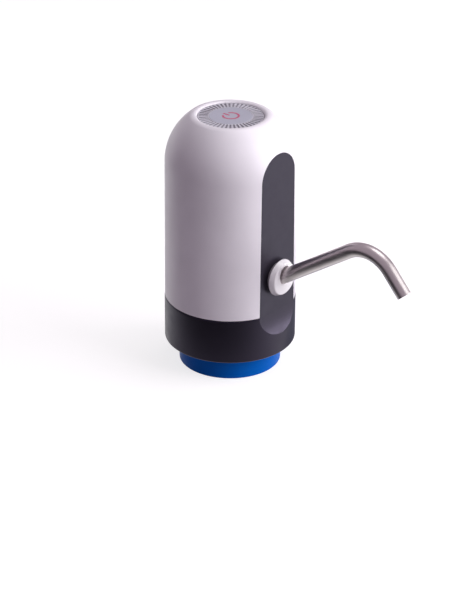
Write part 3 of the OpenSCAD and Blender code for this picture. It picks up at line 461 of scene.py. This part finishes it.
# Black base ring and front panel. One moulding in black ABS: a ring with a floor, a flat
# panel that runs up into the shell's slot, and a thumb-shaped hollow where the two meet.
# Four screws go up through its counterbores into the shell.
base_r = 37
base_foot = 14
base_floor = 16.3
base_inner_r = 34.8
collar_hole_r = 29.4
foot_round = 1
seam_edge = [(base_r, seam_z - 1.3), (base_r - 0.08, seam_z - 0.55), (base_r - 0.3, seam_z)]
lip_r = 34.3
lip_inner_r = 32.6
lip_top = 44
lip_root = 3
cove_foot = 4.8
panel_back = flat_y - shell_wall
panel_foot = 34
panel_edge = 0.22
sharp_corner = radians(60)
cutter_half = 20
cutter_front = 40
cutter_top = 60
no_sliver = 0.02
scoop_z = 41.2
scoop_bend = 32
grommet_z = 60.7
grommet_hole_r = 8.2
through_panel = (-6, 12)
screw_ring = 32.9
screw_angles = [50, 130, 230, 310]
boss_r = 3.3
boss_root = base_foot + 1
boss_top = seam_z - 0.2
counterbore_r = 2.5
counterbore_top = 35
pilot_r = 1.45
pilot_foot = 30


def at_screws(radius, foot, top):
    """Upright bars on the axes of the four case screws, as one mesh."""
    return joined([
        rod(radius, foot, top, screw_ring * cos(radians(a)), screw_ring * sin(radians(a)), 32)
        for a in screw_angles
    ])


def band_across(foot, top):
    """Outline in X and Z of a cutter that is wider than the front panel."""
    return [(-cutter_half, foot), (cutter_half, foot), (cutter_half, top), (-cutter_half, top)]


def toward_front(piece, height):
    """Turns a piece made along +Z to face the front, with its foot on the panel's plane."""
    return turn_and_place(piece, (90, 0, 0), (0, -flat_y, height))


black_base = turned("black_base", (
    [(collar_hole_r, base_foot)]
    + arc(base_r - foot_round, base_foot + foot_round, foot_round, -90, 0, 8)
    + seam_edge + [(lip_r, seam_z), (lip_r, lip_top)]
    + [(lip_inner_r, lip_top), (lip_inner_r, seam_z - lip_root)]
    + [(base_inner_r, seam_z - cove_foot), (base_inner_r, base_floor), (collar_hole_r, base_floor)]
    + [(collar_hole_r, base_foot)]
), case_steps)

# A pad on the front of the ring backs the hollow, and the panel stands on it
pad = rod(seam_edge[-1][0], base_foot + foot_round, seam_z, steps=case_steps)
pad_limit = plate("pad_limit", band_across(0, cutter_top), -cutter_front, -panel_back)
combine(pad, pad_limit, "INTERSECT")
combine(black_base, pad, "UNION")

front_panel = plate("front_panel", panel_outline(0, panel_foot), -flat_y, -panel_back)
modify(front_panel, "BEVEL", width=panel_edge * mm, segments=2, limit_method="ANGLE",
       angle_limit=sharp_corner)
combine(black_base, front_panel, "UNION")
combine(black_base, at_screws(boss_r, boss_root, boss_top), "UNION")
scoop = turn_and_place(rod(scoop_bend, -cutter_half, cutter_half, steps=360), (0, 90, 0))
turn_and_place(scoop, (0, 0, 0), (0, -flat_y - scoop_bend - no_sliver, scoop_z))
combine(black_base, scoop)

# The lip that centres the shell is cut off where it would stand before the panel's face
lip_trim = plate("lip_trim", band_across(seam_z, lip_top + 1), -cutter_front, -flat_y - no_sliver)
combine(black_base, lip_trim)
combine(black_base, toward_front(rod(grommet_hole_r, *through_panel), grommet_z))
combine(black_base, at_screws(counterbore_r, base_foot - 2, counterbore_top))
combine(black_base, at_screws(pilot_r, pilot_foot, seam_z + 1))
smooth(black_base, sharp=20)
black_abs = finish("black_abs", (0.009, 0.008, 0.011), 0.4, grain=0.006, pitch=0.3,
                   Specular_IOR_Level=0.62, Specular_Tint=(0.74, 0.62, 1.0, 1))
dress(black_base, black_abs, "housing", "black_abs", "lower_housing")


# Neck collar. Moulded in blue polypropylene to push over a round neck: a bore, a shoulder
# that stops the neck, and a ceiling that carries the suction spigot.
collar_rim_r = 28.8
collar_top_r = 29.2
neck_r = 27.8
neck_depth = 16
mouth_ease = (0.3, 0.5)
pocket_r = 25
pocket_edge = 0.6
pocket_wall = 2.4
spigot_hole_r = 4.6
ceiling_foot = 27
ceiling_top = 29.2
flange_r = 31
flange_top = 18.3
rim_round = 0.45

blue_collar = turned("blue_collar", (
    [(spigot_hole_r, ceiling_foot), (pocket_r - pocket_edge, ceiling_foot)]
    + [(pocket_r, ceiling_foot - pocket_edge), (pocket_r, neck_depth), (neck_r, neck_depth)]
    + [(neck_r, mouth_ease[1]), (neck_r + mouth_ease[0], 0)]
    + arc(collar_rim_r - rim_round, rim_round, rim_round, -90, 0, 6)
    + [(collar_top_r, base_foot - 2), (collar_top_r, base_floor), (flange_r, base_floor)]
    + [(flange_r, flange_top), (pocket_r + pocket_wall, flange_top)]
    + [(pocket_r + pocket_wall, ceiling_top), (spigot_hole_r, ceiling_top)]
    + [(spigot_hole_r, ceiling_foot)]
))
smooth(blue_collar)
blue_pp = finish("blue_pp", (0.0, 0.11, 0.50), 0.42, grain=0.004, pitch=0.6,
                 Specular_IOR_Level=0.06)
dress(blue_collar, blue_pp, "housing", "blue_pp", "neck_collar")


# Grommet. A glossy white moulding snapped into the panel: an undercut brim, a round ridge
# and a low crown, with a pocket round the tube, which leaves it at a slant.
spout_rise = 33.5
pierce_y = 36
pierce_z = grommet_z - 0.15
spout_origin = (0, -pierce_y, pierce_z)
cap_r = 10.55
cap_foot_r = 8.6
neck_out_r = grommet_hole_r - 0.1
snap_r = 9.4
snap_top = -2.2
snap_foot = -3.6
cap_lift = 2.5
brim_round = 0.6
brim_from, brim_to = -45, 28
ridge_r = 8.6
ridge_z = 4.45
ridge_round = 0.95
ridge_from, ridge_to = 24, 80
tube_pocket_r = 5
tube_pocket_floor = 1.2
tube_r = 4
tube_fit = 0.04


def along_spout(piece):
    """Moves a piece made along +Z onto the spout's sloping axis."""
    return turn_and_place(piece, (90 - spout_rise, 0, 0), spout_origin)


crown_ball = ridge_round + ridge_r / cos(radians(ridge_to))
crown_ball_z = ridge_z - ridge_r * tan(radians(ridge_to))
white_grommet = turned("white_grommet", (
    [(0, snap_foot), (snap_r, snap_foot), (snap_r, snap_top), (neck_out_r, snap_top)]
    + [(neck_out_r, 0), (cap_foot_r, 0)]
    + arc(cap_r - brim_round, cap_lift, brim_round, brim_from, brim_to, 8)
    + arc(ridge_r, ridge_z, ridge_round, ridge_from, ridge_to, 8)
    + arc(0, crown_ball_z, crown_ball, ridge_to, 90, 20)[1:]
), 160)
toward_front(white_grommet, grommet_z)
combine(white_grommet, along_spout(rod(tube_r + tube_fit, -20, 30, steps=96)))
combine(white_grommet, along_spout(rod(tube_pocket_r, tube_pocket_floor, 30, steps=96)))
smooth(white_grommet)
white_gloss = finish("white_gloss", (0.82, 0.79, 0.83), 0.16, uneven=0.03, grain=0.002, pitch=0.8)
dress(white_grommet, white_gloss, "housing", "white_gloss", "spout_grommet")


# Spout. An 8 mm stainless tube with a 0.6 mm wall, bent once over a round former, with its
# end faced and its rim broken. It turns in two O-ring seals behind the panel.
tube_wall = 0.6
tube_tail = 17.6
tube_straight = 55
bend_r = 20.8
bend_angle = 82.3
tube_end = 15.2
tube_sides = 64
tube_rim_edge = 0.18

rise = radians(spout_rise)
out = Vector((0, -cos(rise), sin(rise)))
up = Vector((0, sin(rise), cos(rise)))
fall = rise - radians(bend_angle)
down = Vector((0, -cos(fall), sin(fall)))
origin = Vector(spout_origin)

only()
bpy.ops.mesh.primitive_circle_add(vertices=tube_sides, radius=tube_r * mm)
inner_rim = bpy.context.object
inner_rim.scale = [(tube_r - tube_wall) / tube_r] * 3
bpy.ops.object.transform_apply()
only()
bpy.ops.mesh.primitive_circle_add(vertices=tube_sides, radius=tube_r * mm)
steel_spout = joined([inner_rim, bpy.context.object])
steel_spout.name = "steel_spout"
turn_and_place(steel_spout, (90 - spout_rise, 0, 0), origin - out * tube_tail)
into_edit(steel_spout)
bpy.ops.mesh.select_all(action="SELECT")
bpy.ops.mesh.bridge_edge_loops()
along = out * (tube_tail + tube_straight) * mm
bpy.ops.mesh.extrude_region_move(TRANSFORM_OT_translate={"value": along})
bend_centre = origin + out * tube_straight - up * bend_r
bpy.ops.mesh.spin(steps=36, angle=radians(bend_angle), center=bend_centre * mm, axis=(-1, 0, 0))
bpy.ops.mesh.extrude_region_move(TRANSFORM_OT_translate={"value": down * tube_end * mm})
bpy.ops.mesh.select_all(action="SELECT")
bpy.ops.mesh.normals_make_consistent(inside=False)
bpy.ops.object.mode_set(mode="OBJECT")
modify(steel_spout, "BEVEL", width=tube_rim_edge * mm, segments=3, limit_method="ANGLE",
       angle_limit=sharp_corner)
smooth(steel_spout)
stainless = finish("stainless", (0.70, 0.64, 0.645), 0.36, uneven=0.04, tone=0.08, grain=0.001,
                   pitch=0.6, Metallic=1.0)
dress(steel_spout, stainless, "spout", "stainless", "spout_tube")


# Button. A grey carrier with a skirt and a snap flange slides in the shell's sleeve. A
# silver ring with fine radial grooves and a plain disc with the power symbol lie on it.
button_r = 18.2
button_z = 147.6
face_z = button_z - 0.6
face_edge = 0.3
carrier_wall = 1.4
carrier_roof = face_z - 1.3
snap_out = button_r + 1.4
snap_high = sleeve_foot - 0.1
skirt_foot = sleeve_foot - 1.8
post_r = 2.4
post_foot = 136.62

button_body = turned("button_body", (
    [(0, face_z), (button_r - face_edge, face_z), (button_r, face_z - face_edge)]
    + [(button_r, snap_high), (snap_out, snap_high), (snap_out, skirt_foot)]
    + [(button_r - carrier_wall, skirt_foot), (button_r - carrier_wall, carrier_roof)]
    + [(post_r, carrier_roof), (post_r, post_foot), (0, post_foot)]
))
smooth(button_body)
grey_abs = finish("grey_abs", (0.42, 0.41, 0.46), 0.36)
dress(button_body, grey_abs, "button", "grey_abs", "button_cap")

disc_r = 12
part_gap = 0.05
part_edge = 0.1
land_in = disc_r + 0.45
land_out = button_r - 0.45
ring_in = disc_r + part_gap
ring_out = button_r - part_gap
groove_count = 45
groove_depth = 0.4
columns_per_groove = 4
columns = groove_count * columns_per_groove
groove_ring = turned("grooved_ring", [
    (ring_in, face_z), (ring_in, button_z), (land_in, button_z), (land_out, button_z),
    (ring_out - part_edge, button_z), (ring_out, button_z - part_edge),
    (ring_out, face_z), (ring_in, face_z),
], columns)


def in_groove(face):
    """True for the ring's top faces in two of every four columns between its two rims."""
    middle = face.center / mm
    radius = middle.xy.length
    column = int((degrees(atan2(middle.y, middle.x)) % 360) * columns / 360)
    between_rims = land_in < radius < land_out
    return face.normal.z > 0.9 and between_rims and column % columns_per_groove < 2


def pick(piece, wanted):
    """Selects the faces that a test on them accepts, in edit mode."""
    into_edit(piece, "FACE")
    bpy.ops.object.mode_set(mode="OBJECT")
    for face in piece.data.polygons:
        face.select = wanted(face)
    bpy.ops.object.mode_set(mode="EDIT")


def repaint_below(material, axis, limit, colour):
    """Gives a material another colour where the piece's X, Y or Z is under a limit."""
    tree = material.node_tree
    socket = tree.nodes["Principled BSDF"].inputs["Base Color"]
    place = tree.nodes.new("ShaderNodeTexCoord")
    parts = tree.nodes.new("ShaderNodeSeparateXYZ")
    low = tree.nodes.new("ShaderNodeMath")
    low.operation = "LESS_THAN"
    low.inputs[1].default_value = limit * mm
    mix = tree.nodes.new("ShaderNodeMix")
    mix.data_type = "RGBA"
    mix.inputs["B"].default_value = (*colour, 1)
    tree.links.new(place.outputs["Object"], parts.inputs["Vector"])
    tree.links.new(parts.outputs[axis], low.inputs[0])
    tree.links.new(low.outputs[0], mix.inputs["Factor"])
    tree.links.new(socket.links[0].from_socket, mix.inputs["A"])
    tree.links.new(mix.outputs["Result"], socket)


pick(groove_ring, in_groove)
bpy.ops.mesh.extrude_region_move(TRANSFORM_OT_translate={"value": (0, 0, -groove_depth * mm)})
bpy.ops.object.mode_set(mode="OBJECT")
smooth(groove_ring)
silver_grey = finish("silver_grey", (0.66, 0.64, 0.71), 0.34, Metallic=0.2)
# Below half the groove's depth the ring is painted darker: painted shade in the groove floors
repaint_below(silver_grey, "Z", button_z - groove_depth / 2, (0.31, 0.30, 0.35))
dress(groove_ring, silver_grey, "button", "silver_grey", "button_ring")

disc_out = disc_r - part_gap
button_disc = turned("centre_disc", [
    (0, face_z), (disc_out, face_z), (disc_out, button_z - part_edge),
    (disc_out - part_edge, button_z), (0, button_z),
])

icon_r = 4.9
icon_stroke = 1.15
icon_opening = 32
icon_bar_low = 1
icon_bar_high = 5.3
icon_foot = button_z - 0.3
icon_fit = 0.01
icon_proud = 0.04


def icon_plate(name, grow, top):
    """The power symbol, as a flat tool or piece: an open ring, and a bar in its gap."""
    start = 90 + icon_opening - degrees(grow / icon_r)
    end = 540 - start
    outer = icon_r + grow
    inner = icon_r - icon_stroke - grow
    outline = arc(0, 0, outer, start, end, 64) + arc(0, 0, inner, end, start, 64)
    ring = plate(name, outline, -top, -icon_foot)
    half = icon_stroke / 2 + grow
    low, high = icon_bar_low - grow, icon_bar_high + grow
    bar = plate("bar", [(-half, low), (half, low), (half, high), (-half, high)], -top, -icon_foot)
    whole = joined([bar, ring])
    whole.name = name
    return turn_and_place(whole, (-90, 0, 0))


combine(button_disc, icon_plate("icon_pocket", 0, button_z + 1))
smooth(button_disc)
disc_grey = finish("disc_grey", (0.45, 0.45, 0.54), 0.38, grain=0.003)
dress(button_disc, disc_grey, "button", "disc_grey", "button_disc")

power_symbol = icon_plate("power_symbol", -icon_fit, button_z + icon_proud)
smooth(power_symbol)
icon_red = finish("icon_red", (0.55, 0.09, 0.19), 0.4)
dress(power_symbol, icon_red, "button", "icon_red", "power_icon")


# Inner frame. Chassis and pump clamp in natural ABS, moulded unpainted because nobody sees
# them: the chassis stands on the collar's ceiling and cradles the cell and the pump.
def refinish(material, *names):
    """Gives CAD nodes that stay a new material in every slot."""
    for name in names:
        for slot in nodes[name].material_slots:
            slot.material = material


natural_abs = finish("natural_abs", (0.66, 0.64, 0.58), 0.42, grain=0.01, pitch=0.6)
refinish(natural_abs, "chassis", "pump_clamp")


# Water path. A polypropylene suction fitting clamps a soft gasket on the ceiling, and clear
# silicone hoses push over its nipple and those of the pump and of the black spout socket.
white_pp = finish("white_pp", (0.76, 0.76, 0.77), 0.4)
refinish(white_pp, "inlet_fitting")
gasket_rubber = finish("gasket_rubber", (0.70, 0.70, 0.72), 0.55, grain=0.008, pitch=0.2)
refinish(gasket_rubber, "inlet_gasket")
clear_silicone = finish("clear_silicone", (0.86, 0.88, 0.89), 0.28, grain=0.004, pitch=1.2,
                        Transmission_Weight=0.55, IOR=1.41)
refinish(clear_silicone, "inlet_hose", "outlet_hose")
refinish(black_abs, "spout_port")
seal_rubber = finish("seal_rubber", (0.016, 0.016, 0.016), 0.58, grain=0.006, pitch=0.15)
refinish(seal_rubber, "spout_seals")


# Pump head. Cover and cam housing in black glass-filled nylon, valve plate, wobble plate and
# cam in acetal, a rubber diaphragm and silicone flaps; four long screws hold the stack.
filled_nylon = finish("filled_nylon", (0.030, 0.030, 0.034), 0.5, tone=0.2, grain=0.02, pitch=0.25)
refinish(filled_nylon, "pump_cover", "pump_housing")
acetal = finish("acetal", (0.78, 0.77, 0.72), 0.3, grain=0.003, pitch=0.5)
refinish(acetal, "valve_plate", "wobble_plate", "cam")
valve_silicone = finish("valve_silicone", (0.52, 0.14, 0.07), 0.45, grain=0.004, pitch=0.3)
refinish(valve_silicone, "check_valves")
diaphragm_rubber = finish("diaphragm_rubber", (0.026, 0.026, 0.028), 0.62, tone=0.15,
                          grain=0.01, pitch=0.2)
refinish(diaphragm_rubber, "diaphragm")


# Motor. A zinc-plated steel can with two ferrite magnets round a laminated armature with
# three coils; sintered bronze bushes carry its shaft, and leaf brushes feed the commutator.
def banded(material, pattern, centre, pitch, dark, depth):
    """Adds fine bands, such as laminations or turns of wire, to a material's tone and relief."""
    tree = material.node_tree
    shader = tree.nodes["Principled BSDF"]
    place = tree.nodes.new("ShaderNodeTexCoord")
    grid = tree.nodes.new("ShaderNodeMapping")
    grid.inputs["Location"].default_value = [-c * mm for c in centre]
    bands = tree.nodes.new("ShaderNodeTexWave")
    bands.wave_type = pattern
    bands.bands_direction = "Z"
    bands.rings_direction = "Z"
    bands_at_scale_one = 20 / (2 * pi)
    bands.inputs["Scale"].default_value = 1 / (bands_at_scale_one * pitch * mm)
    bands.inputs["Distortion"].default_value = 0.3
    mix = tree.nodes.new("ShaderNodeMix")
    mix.data_type = "RGBA"
    mix.inputs["A"].default_value = (*dark, 1)
    tree.links.new(place.outputs["Object"], grid.inputs["Vector"])
    tree.links.new(grid.outputs["Vector"], bands.inputs["Vector"])
    tree.links.new(bands.outputs["Fac"], mix.inputs["Factor"])
    tree.links.new(shader.inputs["Base Color"].links[0].from_socket, mix.inputs["B"])
    tree.links.new(mix.outputs["Result"], shader.inputs["Base Color"])
    relief(tree, shader, bands.outputs["Fac"], strength=0.5, depth=depth)


pump_axis = (11.5, 8, 0)
zinc_plate = finish("zinc_plate", (0.60, 0.62, 0.64), 0.32, uneven=0.06, tone=0.12, grain=0.002,
                    pitch=0.8, Metallic=1.0)
refinish(zinc_plate, "motor_can")
ferrite = finish("ferrite", (0.055, 0.053, 0.055), 0.6, tone=0.25, grain=0.02, pitch=0.2)
refinish(ferrite, "motor_magnets")
white_nylon = finish("white_nylon", (0.78, 0.78, 0.75), 0.42, grain=0.006, pitch=0.4)
refinish(white_nylon, "motor_end_cap")
ground_steel = finish("ground_steel", (0.60, 0.60, 0.61), 0.2, uneven=0.03, grain=0.001,
                      pitch=0.15, Metallic=1.0)
refinish(ground_steel, "motor_shaft", "wobble_pin")
sintered_bronze = finish("sintered_bronze", (0.42, 0.28, 0.14), 0.45, tone=0.35, grain=0.015,
                         pitch=0.12, Metallic=1.0)
refinish(sintered_bronze, "motor_bushes")
copper_leaf = finish("copper_leaf", (0.72, 0.36, 0.18), 0.3, tone=0.2, grain=0.002, pitch=0.4,
                     Metallic=1.0)
refinish(copper_leaf, "motor_brushes", "commutator")
laminated_steel = finish("laminated_steel", (0.34, 0.34, 0.35), 0.42, grain=0.003, Metallic=1.0)
banded(laminated_steel, "BANDS", pump_axis, 0.5, (0.08, 0.08, 0.09), 0.05)
refinish(laminated_steel, "armature_core")
enamelled_wire = finish("enamelled_wire", (0.52, 0.17, 0.05), 0.3, grain=0.002, Metallic=0.7)
banded(enamelled_wire, "RINGS", pump_axis, 0.3, (0.12, 0.03, 0.01), 0.1)
refinish(enamelled_wire, "armature_windings")


# Battery. One 18650 cell in a shrunk blue sleeve with a bare steel cap, nickel strips welded
# to its ends, and leads with a red and a black jacket. The motor has a pair of such leads.
cell_sleeve_top = 96.9
cell_sleeve = finish("cell_sleeve", (0.62, 0.62, 0.60), 0.3, grain=0.004, pitch=1.5)
repaint_below(cell_sleeve, "Z", cell_sleeve_top, (0.02, 0.13, 0.36))
refinish(cell_sleeve, "battery_cell")
nickel = finish("nickel", (0.66, 0.64, 0.60), 0.28, tone=0.12, grain=0.002, Metallic=1.0)
refinish(nickel, "usb_socket", "battery_tabs")
lead_red = (0.50, 0.02, 0.02)
lead_black = (0.014, 0.014, 0.014)
battery_jacket = finish("battery_jacket", lead_red, 0.4, grain=0.003, pitch=0.4)
repaint_below(battery_jacket, "Y", 6, lead_black)
refinish(battery_jacket, "battery_leads")
motor_jacket = finish("motor_jacket", lead_black, 0.4, grain=0.003, pitch=0.4)
repaint_below(motor_jacket, "X", pump_axis[0], lead_red)
refinish(motor_jacket, "motor_leads")


# Circuit board. Glass epoxy under green solder mask, with chips, two red indicator lights and
# a push switch whose black plunger carries the button.
solder_mask = finish("solder_mask", (0.012, 0.13, 0.045), 0.3, tone=0.35, grain=0.012, pitch=1.2)
refinish(solder_mask, "circuit_board")
chip_epoxy = finish("chip_epoxy", (0.022, 0.022, 0.024), 0.48, grain=0.006, pitch=0.12)
refinish(chip_epoxy, "board_components", "tact_switch", "switch_plunger")
led_epoxy = finish("led_epoxy", (0.80, 0.16, 0.14), 0.12, grain=0.001, pitch=1.0,
                   Transmission_Weight=0.6, IOR=1.5)
refinish(led_epoxy, "indicator_leds")


# Screws. Self-tapping pan heads in zinc-plated steel, one kind for each joint of the case,
# the chassis, the clamp, the spout socket, the pump, the motor and the board.
screw_steel = finish("screw_steel", (0.52, 0.52, 0.54), 0.32, tone=0.12, grain=0.002, Metallic=1.0)
refinish(screw_steel, "case_screws", "chassis_screws", "clamp_screws", "port_screws",
         "pump_screws", "motor_screws", "board_screws")
